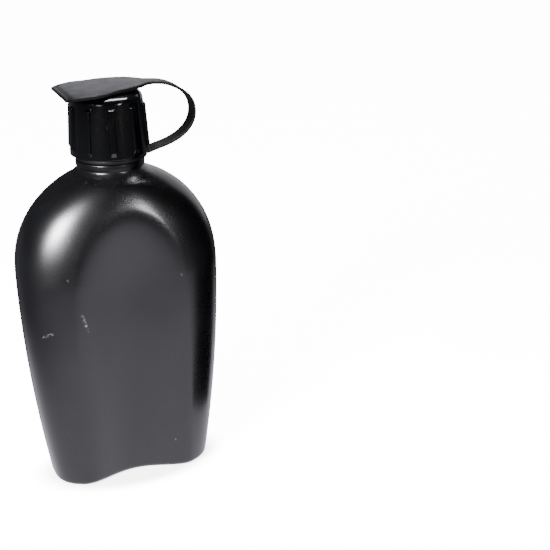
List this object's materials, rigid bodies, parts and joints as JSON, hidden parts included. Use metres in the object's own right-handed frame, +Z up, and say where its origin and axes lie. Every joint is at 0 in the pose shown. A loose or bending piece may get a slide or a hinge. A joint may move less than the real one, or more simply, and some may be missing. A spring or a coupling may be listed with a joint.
{
  "type": "field canteen",
  "caption": "Kidney-section field canteen with a ribbed screw cap, a spring-loaded drinking valve, and a rubber cover flap on a strap that loops down to a ring round the neck.",
  "frame": {"origin": "on the base plane, under the neck's axis", "axes": "+Z up along the neck's axis, +X across the bottle's width towards the strap loop, -Y out of the hollow front"},
  "size_m": [0.125, 0.0693, 0.2536],
  "materials": {
    "bottle_plastic": "semi-gloss blow-moulded polyethylene with fine scuffs",
    "cap_plastic": "smooth injection-moulded plastic",
    "valve_plastic": "smooth",
    "cover_rubber": "matte, slightly dusty",
    "seal_rubber": "matte",
    "spring_steel": "bright drawn stainless wire"
  },
  "bodies": {
    "bottle": {"bottle_body": "bottle_plastic"},
    "tether": {"tether_ring": "cover_rubber", "strap_lower": "cover_rubber"},
    "cap": {"cap_shell": "cap_plastic", "mouth_gasket": "seal_rubber", "valve_body": "valve_plastic", "coupling_seal": "seal_rubber", "spring_cage": "valve_plastic", "valve_spring": "spring_steel", "strap_upper": "cover_rubber"},
    "cover": {"cover_flap": "cover_rubber"},
    "poppet": {"valve_poppet": "valve_plastic", "poppet_seal": "seal_rubber"}
  },
  "joints": [
    {"name": "cap_turn", "type": "hinge", "parent": "bottle", "child": "tether", "pos_m": [0, 0, 0.2105], "axis": [0, 0, 1], "range_deg": [0, 720]},
    {"name": "cap_lift", "type": "slide", "parent": "tether", "child": "cap", "axis": [0, 0, 1], "range_m": [0, 0.01]},
    {"name": "cover_flip", "type": "hinge", "parent": "cap", "child": "cover", "pos_m": [0.0245, 0, 0.2539], "axis": [0, 1, 0], "range_deg": [0, 120]},
    {"name": "valve_press", "type": "slide", "parent": "cap", "child": "poppet", "axis": [0, 0, -1], "range_m": [0, 0.003], "stiffness_N_per_m": 300, "deforming": ["valve_spring"]}
  ],
  "couplings": [
    {"joint": "cap_lift", "follows": "cap_turn", "m_per_rad": 0.00079577}
  ]
}
